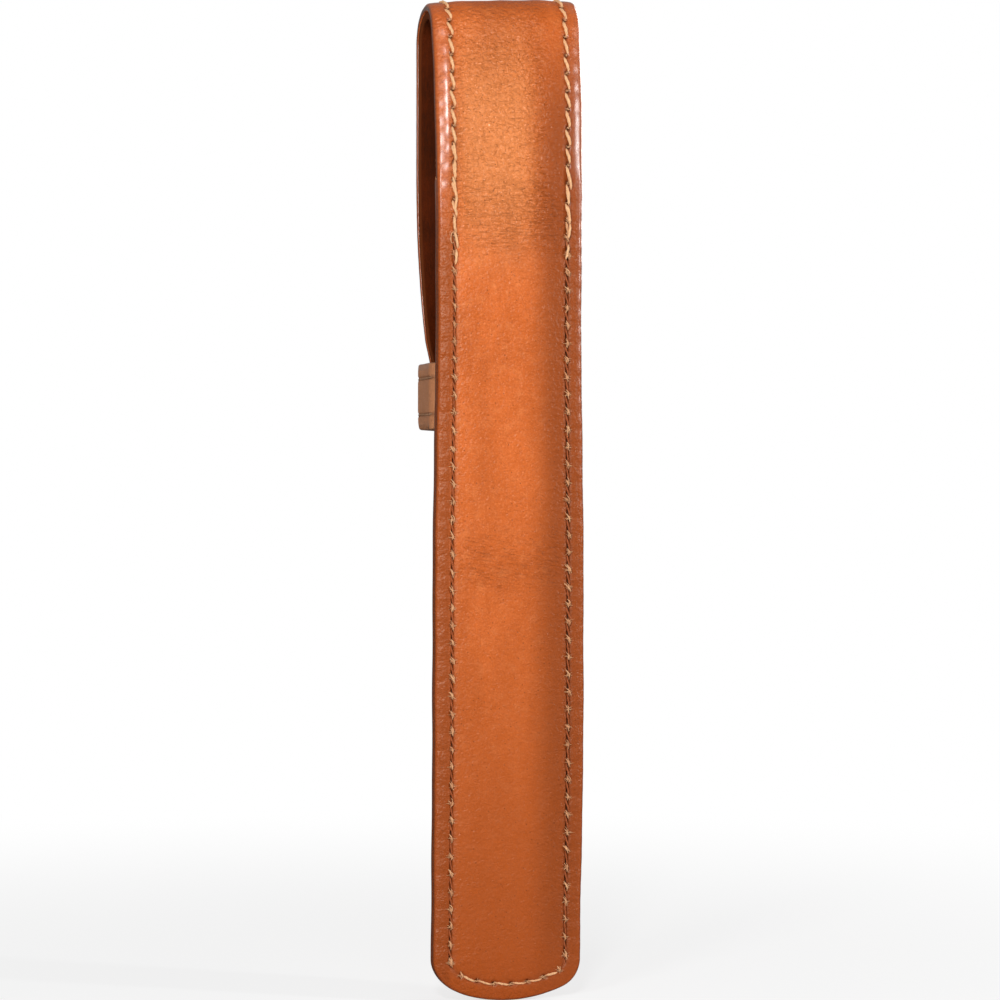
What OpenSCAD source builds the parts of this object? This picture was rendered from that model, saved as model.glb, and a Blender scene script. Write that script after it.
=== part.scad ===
/* [Sleeve] */
// Overall height of the closed sleeve
sleeve_h = 165; // [160:1:185]
// Width of the strap and of the pocket
strap_w = 25; // [24:0.5:30]
// Radius of the gently bowed bottom edge
bottom_r = 24; // [20:1:40]
// Radius of the two bottom corners
bottom_corner_r = 5; // [4:0.5:6]

/* [Leather] */
// Thickness of the strap leather
strap_t = 1.5; // [1.2:0.1:2]
// Thickness of the lining inside the loop and the flap
lining_t = 1.3; // [1:0.1:1.6]
// Thickness of the moulded pocket panel
panel_t = 1.4; // [1:0.1:1.8]

/* [Pocket] */
// Distance of the pocket mouth below the top of the loop
mouth_drop = 30.6; // [30:0.2:40]
// Radius of the curve where the panel lifts off the seam
foot_r = 3; // [2.6:0.1:3.4]
// Straight part of the pen space's sides
side_h = 1; // [0:0.1:1.6]
// Space between the seam and the foot of the moulded part
seam_clear = 0.5; // [0.4:0.1:0.8]

/* [Loop and flap] */
// Lean of the strap's back leg where the loop begins, in degrees
lean_angle = 13; // [10:0.5:14]
// Radius of the bend that gives the back leg its lean
lean_r = 105; // [90:1:110]
// Clearance between the pocket's front and the flap over it
flap_clear = 0.35; // [0.3:0.05:1]
// Distance below the top at which the flap starts to narrow
taper_drop = 27; // [23:1:35]
// Radius of the long curve that narrows the flap
taper_r = 328; // [310:1:500]
// Length of the flap, from the top of the loop to the tongue's tip
flap_len = 75.2; // [74:0.2:79]
// Radius of the corners at the tongue's tip
tip_r = 5; // [3:0.5:7]
// Radius to which the tongue cups over the pocket
cup_r = 26; // [24:1:40]

/* [Keeper] */
// Distance that the tongue's tip comes out below the keeper
tongue_reach = 3.8; // [3:0.1:5]
// Height of the keeper band
keeper_h = 11; // [9:0.5:12]
// Thickness of the keeper's leather
keeper_t = 0.9; // [0.7:0.1:1.2]
// Thickness of the keeper's lining
keeper_lining_t = 0.7; // [0.5:0.1:0.9]
// Clearance over the tongue's face inside the keeper
keeper_clear = 0.55; // [0.5:0.05:0.9]
// Clearance beside the tongue's edges inside the keeper
keeper_side_clear = 0.35; // [0.3:0.05:0.8]
// Outer radius of the keeper's two front corners
keeper_corner_r = 3; // [2.6:0.1:4]
// Outer radius of the bends over the keeper's two feet
keeper_foot_r = 2.5; // [2.3:0.1:2.8]
// Width of each foot, from its end to the keeper's side
keeper_foot_w = 3.4; // [3.2:0.1:3.5]

/* [Stitching] */
// Distance of the stitches from the edge of the leather
seam_inset = 2.8; // [2.6:0.1:3]
// Distance from one stitch to the next
stitch_pitch = 3.04; // [2.6:0.02:3.6]
// Length of one stitch
stitch_len = 2.3; // [1.8:0.1:2.4]
// Diameter of the thread
thread_d = 0.6; // [0.4:0.05:0.7]
// Lean of each stitch across the seam, in degrees
stitch_slant = 8; // [0:1:12]
// Distance of the keeper's two stitch rows from its edges
keeper_row_inset = 2.5; // [2:0.1:3]
// Depth of the groove that the thread lies in on the back and round the loop
groove_d = 0.3; // [0.2:0.05:0.4]
// Space beside the thread in its groove
groove_clear = 0.15; // [0.1:0.05:0.2]

/* [Fold lines] */
// Distance of the tongue's fold line above the keeper
tongue_fold_rise = 3; // [2.4:0.2:4]
// Distance from there to the flap's middle fold, and again to its upper one
fold_link = 20; // [18:0.5:21]

/* [Hidden] */
$fn = 96;
FINE = 360;

TAN = "#cf6a2e";
TAN_DARK = "#b4561f";
BROWN = "#7a3512";
TAUPE = "#94664a";
THREAD = "#f0c894";

// Number of fold lines round the loop: each link between two of them is a node of its own
loop_folds = 4;
// The mouth, the flap and the keeper are placed from the top of the loop
mouth_z = sleeve_h - mouth_drop;
taper_z = sleeve_h - taper_drop;
tip_z = sleeve_h - flap_len;
keeper_z = tip_z + tongue_reach;
keeper_top_z = keeper_z + keeper_h;
tongue_fold_z = keeper_top_z + tongue_fold_rise;
knee_z = tongue_fold_z + fold_link;
root_fold_z = knee_z + fold_link;
// The whole strap is two plies thick from the mouth to the tongue
plies_t = strap_t + lining_t;
// Half the distance between the two side seams
seam_x = strap_w / 2 - seam_inset;
// Radius of the round front of the pen space, and the depth of that space
pen_r = seam_x - seam_clear - foot_r;
pen_depth = foot_r + side_h + pen_r;
// Height of the pocket's round end, a little above the bottom seam
pocket_end_z = seam_inset + seam_clear + foot_r + pen_r;
// Distance of the flap's outer face from the back of the sleeve
panel_top = strap_t + pen_depth + panel_t;
flap_y = panel_top + flap_clear + plies_t;
// The loop: a leaning back leg that runs into a round top
loop_turn = 180 - lean_angle;
loop_start_y = lean_r * (1 - cos(lean_angle));
loop_r = (flap_y - loop_start_y) / (1 + cos(lean_angle));
loop_y = flap_y - loop_r;
loop_z = sleeve_h - loop_r;
lean_z = loop_z + loop_r * sin(lean_angle) - lean_r * sin(lean_angle);
fold_turn = loop_turn / loop_folds;
// The lining starts just above the pocket panel
lining_gap = 0.3;
// Lengths along the strap's outer face, from the bottom edge
lean_end_s = lean_z + lean_r * lean_angle * PI / 180;
loop_end_s = lean_end_s + loop_r * loop_turn * PI / 180;
// The keeper's outer half width, and the curve of its arch
keeper_band_t = keeper_t + keeper_lining_t;
keeper_x = half_w(keeper_top_z) + keeper_side_clear + keeper_band_t;
keeper_arch_r = cup_r + keeper_clear + keeper_band_t;
keeper_arch_y = flap_y - cup_r;
flange_y = strap_t + panel_t;
// The sleeve stands with its middle over the origin
depth = keeper_arch_y + keeper_arch_r + thread_d / 2;
mid_y = (depth - thread_d / 2) / 2;
// A stitch on a hollow curve is lifted off it by this much, and on a cupped face by a little
lift = 0.05;
hollow_lift = 0.2;
// Rows and columns of the cupped leather's surface
cup_columns = 16;
cup_row_h = 2;
tip_rows = 6;

// Half width of the narrowing flap at height z, without its rounded tip
function taper_w(z) =
    strap_w / 2 - (z < taper_z ? taper_r - sqrt(pow(taper_r, 2) - pow(taper_z - z, 2)) : 0);
// What the rounded corners take off at height z above a tip of radius r
function tip_cut(z, from, r) =
    z < from + r ? r - sqrt(max(0, pow(r, 2) - pow(from + r - z, 2))) : 0;
function half_w(z) = taper_w(z) - tip_cut(z, tip_z, tip_r);
// The flap is flat at its knee and fully cupped from the tongue's fold down
function cup_share(z) =
    let (u = min(1, max(0, (knee_z - z) / fold_link)))
    u * u * (3 - 2 * u);
function face_y(x, z) = flap_y - cup_share(z) * (cup_r - sqrt(pow(cup_r, 2) - x * x));
function face_tilt(x, z) = atan(cup_share(z) * x / sqrt(pow(cup_r, 2) - x * x));
// How far the cupping face leans out with height, in degrees
function face_lean(x, z) =
    atan((face_y(x, z + cup_row_h / 2) - face_y(x, z - cup_row_h / 2)) / cup_row_h);

// Direction of the outward normal at length s along the strap: 180 at the back, 0 at the flap
function strap_angle(s) =
    s < lean_z ? 180
    : s < lean_end_s ? 180 - (s - lean_z) / lean_r * 180 / PI
    : s < loop_end_s ? loop_turn - (s - lean_end_s) / loop_r * 180 / PI
    : 0;
// Point at length s and at depth d under the outer face, as [y, z]
function strap_point(s, d) =
    let (a = strap_angle(s))
    s < lean_z ? [d, s]
    : s < lean_end_s ? [lean_r + (lean_r - d) * cos(a), lean_z + (lean_r - d) * sin(a)]
    : s < loop_end_s ? [loop_y + (loop_r - d) * cos(a), loop_z + (loop_r - d) * sin(a)]
    : [flap_y - d, loop_z - (s - loop_end_s)];
// Length along the strap at fold number k of the loop, and at height z of the flap
function fold_s(k) = lean_end_s + (loop_end_s - lean_end_s) * (k - 0.5) / loop_folds;
function fold_angle(k) = loop_turn - fold_turn * (k - 0.5);
function flap_s(z) = loop_end_s + loop_z - z;

// Lengths at which the strap's side view has a point, close enough for its curves to look round
lean_steps = 20;
loop_steps = 48;
curve_s = [
    for (i = [0 : lean_steps]) lean_z + (lean_end_s - lean_z) * i / lean_steps,
    for (i = [1 : loop_steps]) lean_end_s + (loop_end_s - lean_end_s) * i / loop_steps
];
function steps_between(a, b) =
    concat([a], [for (s = curve_s) if (s > a + 0.01 && s < b - 0.01) s], [b]);

module placed() {
    translate([0, -mid_y, 0]) children();
}

// Extrudes a side view, drawn as y and z, over a width centred on x = 0
module across(width) {
    rotate([90, 0, 90]) linear_extrude(width, center = true) children();
}

// Extrudes a back view, drawn as x and z, from one depth to another
module through(from, to) {
    translate([0, to, 0]) rotate([90, 0, 0]) linear_extrude(to - from) children();
}

// Part of a ring round the point c, from angle a to angle b
module ring_part(c, r, t, a, b) {
    far = 2 * r;
    intersection() {
        translate(c) difference() {
            circle(r);
            circle(r - t);
        }
        polygon([
            c,
            c + far * [cos(a), sin(a)],
            c + far * [cos(b), sin(b)]
        ]);
    }
}

// A strip with one end rounded: a long bow between two corners, lowest at the origin
module round_end(width, length, bow_r, corner_r) {
    cx = width / 2 - corner_r;
    rise = sqrt(pow(bow_r - corner_r, 2) - cx * cx);
    cy = bow_r - rise;
    intersection() {
        translate([0, bow_r]) circle(bow_r, $fn = FINE);
        polygon([[0, bow_r], 2 * [-cx, -rise] + [0, bow_r], 2 * [cx, -rise] + [0, bow_r]]);
    }
    for (side = [-1, 1]) {
        translate([side * cx, cy]) circle(corner_r);
    }
    translate([-width / 2, cy]) square([width, length - cy]);
}

// Side view of one ply of the loop between two angles, d under the outer face
module loop_ply(d, t, a, b) {
    ring_part([loop_y, loop_z], loop_r - d, t, a, b);
}

// Side view of one ply of the strap from length a to length b, d under the outer face
module strap_ply(a, b, d, t) {
    steps = steps_between(a, b);
    polygon(concat(
        [for (s = steps) strap_point(s, d)],
        [for (i = [len(steps) - 1 : -1 : 0]) strap_point(steps[i], d + t)]
    ));
}

// Half the pen space, or half the moulded panel's outside, above the height base
module bell_half(r, foot, base) {
    straight = base + foot + side_h;
    intersection() {
        translate([0, straight]) circle(r);
        translate([0, straight]) square(r);
    }
    translate([0, base]) square([r, foot + side_h]);
    difference() {
        translate([r, base]) square(foot);
        translate([r + foot, base + foot]) circle(foot);
    }
}

// The moulded form that bell_half draws: straight to the mouth, with a round lower end
module bell(r, foot, base, top) {
    translate([0, 0, pocket_end_z]) {
        linear_extrude(top - pocket_end_z) {
            bell_half(r, foot, base);
            mirror([1, 0]) bell_half(r, foot, base);
        }
        rotate([-90, 0, 0]) rotate_extrude(angle = 180) bell_half(r, foot, base);
    }
}

// One ply of the narrowing flap, d under its face, through the rows of heights zs
module draped_ply(zs, d, t, columns) {
    rows = len(zs) - 1;
    points = [
        for (z = zs, depth = [d, d + t], j = [0 : columns])
            let (x = half_w(z) * (2 * j / columns - 1))
            [x, face_y(x, z) - depth, z]
    ];
    function at(i, inner, j) = (2 * i + inner) * (columns + 1) + j;
    function quad(a, b, c, e) = [[a, b, c], [a, c, e]];
    faces = [
        for (i = [0 : rows - 1], j = [0 : columns - 1]) each [
            each quad(at(i, 0, j), at(i, 0, j + 1), at(i + 1, 0, j + 1), at(i + 1, 0, j)),
            each quad(at(i, 1, j), at(i + 1, 1, j), at(i + 1, 1, j + 1), at(i, 1, j + 1))
        ],
        for (i = [0 : rows - 1]) each [
            each quad(at(i, 0, 0), at(i + 1, 0, 0), at(i + 1, 1, 0), at(i, 1, 0)),
            each quad(
                at(i, 0, columns), at(i, 1, columns), at(i + 1, 1, columns), at(i + 1, 0, columns)
            )
        ],
        for (j = [0 : columns - 1]) each [
            each quad(at(0, 0, j), at(0, 1, j), at(0, 1, j + 1), at(0, 0, j + 1)),
            each quad(at(rows, 0, j), at(rows, 0, j + 1), at(rows, 1, j + 1), at(rows, 1, j))
        ]
    ];
    polyhedron(points, faces, convexity = 4);
}

// Heights from low to high in even rows, no more than row_h apart
function even_rows(low, high, row_h) =
    let (n = ceil((high - low) / row_h))
    [for (i = [0 : n]) low + (high - low) * i / n];
// Heights of the tongue's rows: close together round the tip, then even
function tongue_rows() = concat(
    [for (k = [0 : tip_rows - 1]) tip_z + tip_r * (1 - cos(90 * k / tip_rows))],
    even_rows(tip_z + tip_r, tongue_fold_z, cup_row_h)
);

// One stitch along z: the upper half of a round-ended thread, its flat side on y = 0
module stitch(length) {
    straight = length - thread_d;
    rotate([0, 0, 180]) rotate_extrude(angle = 180, $fn = 24) intersection() {
        union() {
            square([thread_d, straight], center = true);
            for (end = [-1, 1]) translate([0, end * straight / 2]) circle(d = thread_d);
        }
        translate([0, -length]) square([thread_d, 2 * length]);
    }
}

// A stitch on the back at depth back, and one on the front face at depth front, turned by angle a
module seam_pair(x, z, a, back, front, length = stitch_len) {
    translate([x, back, z]) rotate([0, a, 0]) stitch(length);
    translate([x, front, z]) rotate([0, a, 180]) stitch(length);
}

// Depth of the front of the seam at height z: the keeper's feet lie on the flange
function seam_front(z) =
    z > keeper_z - stitch_len / 2 && z < keeper_top_z + stitch_len / 2
    ? flange_y + keeper_band_t
    : flange_y;

// The side seam from the bottom corner to the mouth
module side_seam(side) {
    low = seam_corner_z;
    count = round((mouth_z - low) / stitch_pitch);
    for (i = [0 : count - 1]) {
        z = low + (mouth_z - low) * (i + 0.5) / count;
        seam_pair(side * seam_x, z, -stitch_slant, groove_d, seam_front(z));
    }
}

// Centres of the bottom seam's corner curves
seam_corner_x = strap_w / 2 - bottom_corner_r;
seam_corner_z = bottom_r - sqrt(pow(bottom_r - bottom_corner_r, 2) - pow(seam_corner_x, 2));

// The bottom seam: one short stitch round each corner and an even row between them
module bottom_seam() {
    corner_r = bottom_corner_r - seam_inset;
    bow_r = bottom_r - seam_inset;
    bow_angle = asin(seam_corner_x / (bottom_r - bottom_corner_r));
    count = round(2 * bow_angle * PI / 180 * bow_r / stitch_pitch);
    for (side = [-1, 1]) {
        a = 45 - bow_angle / 2;
        x = seam_corner_x + corner_r * cos(a);
        z = seam_corner_z - corner_r * sin(a);
        seam_pair(side * x, z, side * a, groove_d, flange_y, stitch_len - 1.5 * thread_d);
    }
    for (i = [0 : count - 1]) {
        a = bow_angle * (2 * (i + 0.5) / count - 1);
        turn = 90 - a - stitch_slant;
        seam_pair(bow_r * sin(a), bottom_r - bow_r * cos(a), turn, groove_d, flange_y);
    }
}

// Two doubled stitches on each side, where the seam is locked at the mouth
module mouth_locks() {
    for (side = [-1, 1], i = [1, 2]) {
        z = mouth_z - stitch_pitch * (i - 0.2);
        seam_pair(side * (seam_x + 1.6 * thread_d), z, stitch_slant, 0, flange_y);
    }
}

// The strap's two stitch rows, on both faces, from length a to length b
module strap_stitches(a, b) {
    count = round((b - a) / stitch_pitch);
    span = min(stitch_len, (b - a) / count - thread_d);
    for (side = [-1, 1], i = [0 : count - 1]) {
        s = a + (b - a) * (i + 0.5) / count;
        turn = strap_angle(s) - 180;
        hollow = s > lean_z && s < loop_end_s;
        outer = strap_point(s, s < flap_s(root_fold_z) ? groove_d : 0);
        inner = strap_point(s, plies_t + (hollow ? hollow_lift : lift));
        z = s < loop_end_s ? sleeve_h : outer[1];
        x = side * (taper_w(z) - seam_inset);
        tilt = face_tilt(x, z);
        drop = flap_y - face_y(x, z);
        lean = turn - face_lean(x, z);
        translate([x, outer[0] - drop, outer[1]]) rotate([lean, 0, -tilt]) {
            translate([0, -lift * cup_share(z), 0]) stitch(span);
        }
        translate([x, inner[0] - drop, inner[1]]) rotate([lean, 0, -tilt]) {
            rotate([0, 0, 180]) stitch(hollow ? span * (1 - plies_t / loop_r) : span - thread_d / 2);
        }
    }
}

// The row across the tongue's tip
module tip_stitches() {
    z = tip_z + seam_inset;
    reach = taper_w(z) - seam_inset;
    count = floor(2 * reach / stitch_pitch);
    for (i = [0 : count - 1]) {
        x = reach * (2 * (i + 0.5) / count - 1) * (1 - stitch_len / strap_w);
        for (face = [0, 1]) {
            translate([x, face_y(x, z) - face * (plies_t + 2 * lift) + lift, z]) {
                rotate([0, 90, 180 * (1 - face) - face_tilt(x, z)]) stitch(stitch_len);
            }
        }
    }
}

// The keeper's outline seen from above, shrunk by d, with its arch towards the flap
module keeper_outline(d) {
    top = keeper_arch_y + keeper_arch_r - d;
    bottom = flange_y + d;
    translate([0, top]) mirror([0, 1]) {
        round_end(
            2 * (keeper_x - d), top - bottom - (keeper_foot_r - d),
            keeper_arch_r - d, keeper_corner_r - d
        );
    }
    for (side = [-1, 1]) {
        translate([side * (keeper_x - keeper_foot_r), flange_y + keeper_foot_r]) {
            circle(keeper_foot_r - d);
        }
    }
    low_x = keeper_x - keeper_foot_r;
    translate([-low_x, bottom]) square([2 * low_x, keeper_foot_r]);
}

// One ply of the keeper band, d under its outside, open between its two feet
module keeper_ply(d, t) {
    open_x = keeper_x - keeper_foot_w;
    translate([0, 0, keeper_z]) linear_extrude(keeper_h) difference() {
        keeper_outline(d);
        keeper_outline(d + t);
        translate([-open_x, 0]) square([2 * open_x, flange_y + 2 * keeper_foot_r]);
    }
}

// A row of stitches round the keeper's sides and over its arch, at height z
module keeper_row(z) {
    arch = asin((keeper_x - keeper_corner_r) / (keeper_arch_r - keeper_corner_r));
    count = round(2 * arch * PI / 180 * keeper_arch_r / stitch_pitch);
    for (i = [0 : count - 1]) {
        a = arch * (2 * (i + 0.5) / count - 1);
        translate([keeper_arch_r * sin(a), keeper_arch_y + keeper_arch_r * cos(a), z]) {
            rotate([0, 90, 180 - a]) stitch(stitch_len);
        }
    }
    low = flange_y + keeper_foot_r;
    side_count = 2;
    for (side = [-1, 1], i = [1 : side_count]) {
        y = low + (i - 0.5) * stitch_pitch;
        translate([side * keeper_x, y, z]) rotate([0, 90, side * 90]) stitch(stitch_len);
    }
}

// The thread's two straight grooves, from length a to length b of the strap
module strap_grooves(a, b) {
    for (side = [-1, 1]) {
        translate([side * seam_x, 0, 0]) across(thread_d + 2 * groove_clear) {
            strap_ply(a, b, -1, groove_d + 1);
        }
    }
}

// The strap's outline at its bottom end, drawn in by d
module end_inside(d) {
    translate([0, d]) {
        round_end(strap_w - 2 * d, seam_corner_z + strap_t - d, bottom_r - d, bottom_corner_r - d);
    }
}

// The thread's groove round the bottom end
module end_groove() {
    half_groove = thread_d / 2 + groove_clear;
    through(-1, groove_d) difference() {
        end_inside(seam_inset - half_groove);
        end_inside(seam_inset + half_groove);
    }
}

module back_leather() {
    color(TAN) placed() difference() {
        intersection() {
            across(2 * strap_w) strap_ply(0, fold_s(1), 0, strap_t);
            through(-1, depth) round_end(strap_w, sleeve_h, bottom_r, bottom_corner_r);
        }
        end_groove();
        strap_grooves(seam_corner_z, fold_s(1) + 1);
    }
}

module neck_lining() {
    color(BROWN) placed() across(strap_w) {
        strap_ply(mouth_z + lining_gap, fold_s(1), strap_t, lining_t);
    }
}

module pocket_panel() {
    color(TAN_DARK) placed() difference() {
        union() {
            through(strap_t, flange_y) round_end(strap_w, mouth_z, bottom_r, bottom_corner_r);
            bell(pen_r + panel_t, foot_r - panel_t, flange_y, mouth_z);
        }
        bell(pen_r, foot_r, strap_t, mouth_z + 1);
    }
}

module keeper_leather() {
    color(TAUPE) placed() keeper_ply(0, keeper_t);
}

module keeper_lining() {
    color(BROWN) placed() keeper_ply(keeper_t, keeper_lining_t);
}

module seam_stitches(side) {
    color(THREAD) placed() side_seam(side);
}

module seam_stitches_bottom() {
    color(THREAD) placed() bottom_seam();
}

module mouth_stitches() {
    color(THREAD) placed() mouth_locks();
}

module stitched_rows(a, b) {
    color(THREAD) placed() strap_stitches(a, b);
}

module keeper_stitches(z) {
    color(THREAD) placed() keeper_row(z);
}

// The loop's three middle links lie between fold k and the next one
module loop_leather(k) {
    from = fold_angle(k);
    to = fold_angle(k + 1);
    color(TAN) placed() difference() {
        across(strap_w) loop_ply(0, strap_t, from, to);
        for (side = [-1, 1]) {
            translate([side * seam_x, 0, 0]) across(thread_d + 2 * groove_clear) {
                loop_ply(-1, groove_d + 1, from + 1, to - 1);
            }
        }
    }
}

module loop_lining(k) {
    color(BROWN) placed() across(strap_w) {
        loop_ply(strap_t, lining_t, fold_angle(k), fold_angle(k + 1));
    }
}

module flap_root_leather() {
    color(TAN) placed() difference() {
        across(strap_w) strap_ply(fold_s(loop_folds), flap_s(root_fold_z), 0, strap_t);
        strap_grooves(fold_s(loop_folds) - 1, flap_s(root_fold_z) + 1);
    }
}

module flap_root_lining() {
    color(BROWN) placed() across(strap_w) {
        strap_ply(fold_s(loop_folds), flap_s(root_fold_z), strap_t, lining_t);
    }
}

module flap_upper(d, t, tone) {
    rows = even_rows(knee_z, root_fold_z, cup_row_h);
    color(tone) placed() draped_ply(rows, d, t, 1);
}

module flap_lower(d, t, tone) {
    rows = even_rows(tongue_fold_z, knee_z, cup_row_h);
    color(tone) placed() draped_ply(rows, d, t, cup_columns);
}

module tongue(d, t, tone) {
    color(tone) placed() draped_ply(tongue_rows(), d, t, cup_columns);
}

module tongue_stitches() {
    low = tip_z + seam_inset + stitch_pitch / 2;
    color(THREAD) placed() {
        strap_stitches(flap_s(tongue_fold_z), flap_s(low));
        tip_stitches();
    }
}

back_leather();
neck_lining();
pocket_panel();
keeper_leather();
keeper_lining();
seam_stitches(-1);  // seam_stitches_left
seam_stitches(1);  // seam_stitches_right
seam_stitches_bottom();
mouth_stitches();
stitched_rows(mouth_z, fold_s(1));  // neck_stitches
union() {  // keeper_stitches_upper
    keeper_stitches(keeper_top_z - keeper_row_inset);
}
union() {  // keeper_stitches_lower
    keeper_stitches(keeper_z + keeper_row_inset);
}
loop_leather(1);  // loop_rear_leather
loop_lining(1);  // loop_rear_lining
stitched_rows(fold_s(1), fold_s(2));  // loop_rear_stitches
loop_leather(2);  // loop_top_leather
loop_lining(2);  // loop_top_lining
stitched_rows(fold_s(2), fold_s(3));  // loop_top_stitches
loop_leather(3);  // loop_front_leather
loop_lining(3);  // loop_front_lining
stitched_rows(fold_s(3), fold_s(4));  // loop_front_stitches
flap_root_leather();
flap_root_lining();
union() {  // flap_root_stitches
    stitched_rows(fold_s(loop_folds), flap_s(root_fold_z));
}
flap_upper(0, strap_t, TAN);  // flap_upper_leather
flap_upper(strap_t, lining_t, BROWN);  // flap_upper_lining
union() {  // flap_upper_stitches
    stitched_rows(flap_s(root_fold_z), flap_s(knee_z));
}
flap_lower(0, strap_t, TAN);  // flap_lower_leather
flap_lower(strap_t, lining_t, BROWN);  // flap_lower_lining
union() {  // flap_lower_stitches
    stitched_rows(flap_s(knee_z), flap_s(tongue_fold_z));
}
tongue(0, strap_t, TAN);  // tongue_leather
tongue(strap_t, lining_t, BROWN);  // tongue_lining
tongue_stitches();
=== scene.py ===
import math

import bpy
import numpy as np
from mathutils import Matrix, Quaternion, Vector


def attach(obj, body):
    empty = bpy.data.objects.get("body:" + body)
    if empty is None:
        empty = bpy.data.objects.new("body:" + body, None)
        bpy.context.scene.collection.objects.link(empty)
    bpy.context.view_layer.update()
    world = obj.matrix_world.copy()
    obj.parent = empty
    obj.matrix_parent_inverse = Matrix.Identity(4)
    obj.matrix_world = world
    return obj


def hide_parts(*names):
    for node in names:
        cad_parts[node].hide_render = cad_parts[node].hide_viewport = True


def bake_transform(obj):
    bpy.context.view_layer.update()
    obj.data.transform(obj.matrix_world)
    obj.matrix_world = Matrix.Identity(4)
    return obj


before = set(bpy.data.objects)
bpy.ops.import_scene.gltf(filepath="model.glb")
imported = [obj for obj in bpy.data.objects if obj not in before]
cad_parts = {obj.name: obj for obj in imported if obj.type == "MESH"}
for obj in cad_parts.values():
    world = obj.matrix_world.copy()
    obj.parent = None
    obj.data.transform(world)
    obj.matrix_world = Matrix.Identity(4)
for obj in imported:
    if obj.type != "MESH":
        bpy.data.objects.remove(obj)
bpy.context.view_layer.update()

# Sizes in millimetres, the same as the part's own
SLEEVE_H = 165.0
STRAP_W = 25.0
BOTTOM_R, CORNER_R = 24.0, 5.0
STRAP_T, LINING_T, PANEL_T = 1.5, 1.3, 1.4
PLIES_T = STRAP_T + LINING_T
MOUTH_Z = 134.4
FOOT_R, SIDE_H, SEAM_CLEAR = 3.0, 1.0, 0.5
LEAN, LEAN_R = math.radians(13), 105.0
FLAP_CLEAR = 0.35
TAPER_Z, TAPER_R = 138.0, 328.0
TIP_Z, TIP_R = 89.8, 5.0
CUP_R = 26.0
KEEPER_Z, KEEPER_H = 93.6, 11.0
KEEPER_T, KEEPER_LINING_T = 0.9, 0.7
KEEPER_CLEAR, KEEPER_SIDE_CLEAR = 0.55, 0.35
KEEPER_CORNER_R, KEEPER_FOOT_R, KEEPER_FOOT_W = 3.0, 2.5, 3.4
SEAM_INSET = 2.8
PITCH = 3.04
FOLD_Z, FOLD_LINK = 107.6, 20.0
LOOP_FOLDS = 4

SEAM_X = STRAP_W / 2 - SEAM_INSET
PEN_R = SEAM_X - SEAM_CLEAR - FOOT_R
PANEL_TOP = STRAP_T + FOOT_R + SIDE_H + PEN_R + PANEL_T
POCKET_END_Z = SEAM_INSET + SEAM_CLEAR + FOOT_R + PEN_R
FLAP_Y = PANEL_TOP + FLAP_CLEAR + PLIES_T
LOOP_TURN = math.pi - LEAN
LOOP_R = (FLAP_Y - LEAN_R * (1 - math.cos(LEAN))) / (1 + math.cos(LEAN))
LOOP_Y = FLAP_Y - LOOP_R
LOOP_Z = SLEEVE_H - LOOP_R
LEAN_Z = LOOP_Z + (LOOP_R - LEAN_R) * math.sin(LEAN)
LEAN_END_S = LEAN_Z + LEAN_R * LEAN
LOOP_END_S = LEAN_END_S + LOOP_R * LOOP_TURN
FLANGE_Y = STRAP_T + PANEL_T
BAND_T = KEEPER_T + KEEPER_LINING_T
KEEPER_TOP_Z = KEEPER_Z + KEEPER_H
MID_Y = (FLAP_Y + KEEPER_CLEAR + BAND_T) / 2
CORNER_X = STRAP_W / 2 - CORNER_R
CORNER_Z = BOTTOM_R - math.sqrt((BOTTOM_R - CORNER_R) ** 2 - CORNER_X**2)
BOW_ANGLE = math.asin(CORNER_X / (BOTTOM_R - CORNER_R))
KNEE_Z = FOLD_Z + FOLD_LINK
ROOT_Z = KNEE_Z + FOLD_LINK
QUARTER = math.pi / 2
MM = 0.001  # metres
UV_SCALE = 0.1  # the flat coordinates are kept in centimetres

# Lengths along the strap where its surface changes
MOUTH_S = 128.0  # the pocket's seam passes into the loop's
TIGHT_S = 130.0  # below this the seam is pulled tight
CREST_S, OVER_S = 169.0, 172.0  # the loop's highest point, and just past it

# Thread and edges, in millimetres
POCKET_PITCH = 2.9
HOLE_GAP = 0.2  # what a stitch leaves free before each hole
PROBE = 0.2  # the step in depth that finds the way out of a face
TIP_TURN = 0.09  # radians by which the sides lean in at the tongue
FAR, NO_SEAM = 9.0, -99.0  # mean "far from any edge" and "not on the seam"
APART = 60  # spreads strands over the thread's pattern
POCKET_SEAM, FLANGE_SEAM, KEEPER_SEAM = -1, -2, -3  # threads that ride on the sleeve

rng = np.random.default_rng(11)


def smooth(u):
    u = np.clip(u, 0, 1)
    return u * u * (3 - 2 * u)


def gauss(v, width):
    return np.exp(-((v / width) ** 2))


def waver(v, step, seed):
    """A slow, even-handed wander between -1 and 1 along v."""
    phases = np.random.default_rng(seed).uniform(0, 6.28, 4)
    waves = zip((1, 1.7, 2.9, 0.6), phases)
    return sum(np.sin(v * 6.28 / (step * k) + p) / k**0.5 for k, p in waves) / 2.6


def unit(v):
    return v / np.maximum(np.linalg.norm(v, axis=-1, keepdims=True), 1e-9)


def lengths(points):
    """The length along a line of points, from its start to each of them."""
    return np.concatenate([[0], np.cumsum(np.linalg.norm(np.diff(points, axis=0), axis=1))])


def runs(pos):
    """The same for many lines at once, each a row of pos."""
    return np.cumsum(np.linalg.norm(np.diff(pos, axis=1, prepend=pos[:, :1]), axis=-1), 1)


def flap_s(z):
    return LOOP_END_S + LOOP_Z - z


def fold_s(k):
    return LEAN_END_S + (LOOP_END_S - LEAN_END_S) * (k - 0.5) / LOOP_FOLDS


def taper_w(z):
    below = np.maximum(TAPER_Z - z, 0)
    return STRAP_W / 2 - (TAPER_R - np.sqrt(TAPER_R**2 - below**2))


def cup_share(z):
    return smooth((KNEE_Z - z) / FOLD_LINK)


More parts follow.
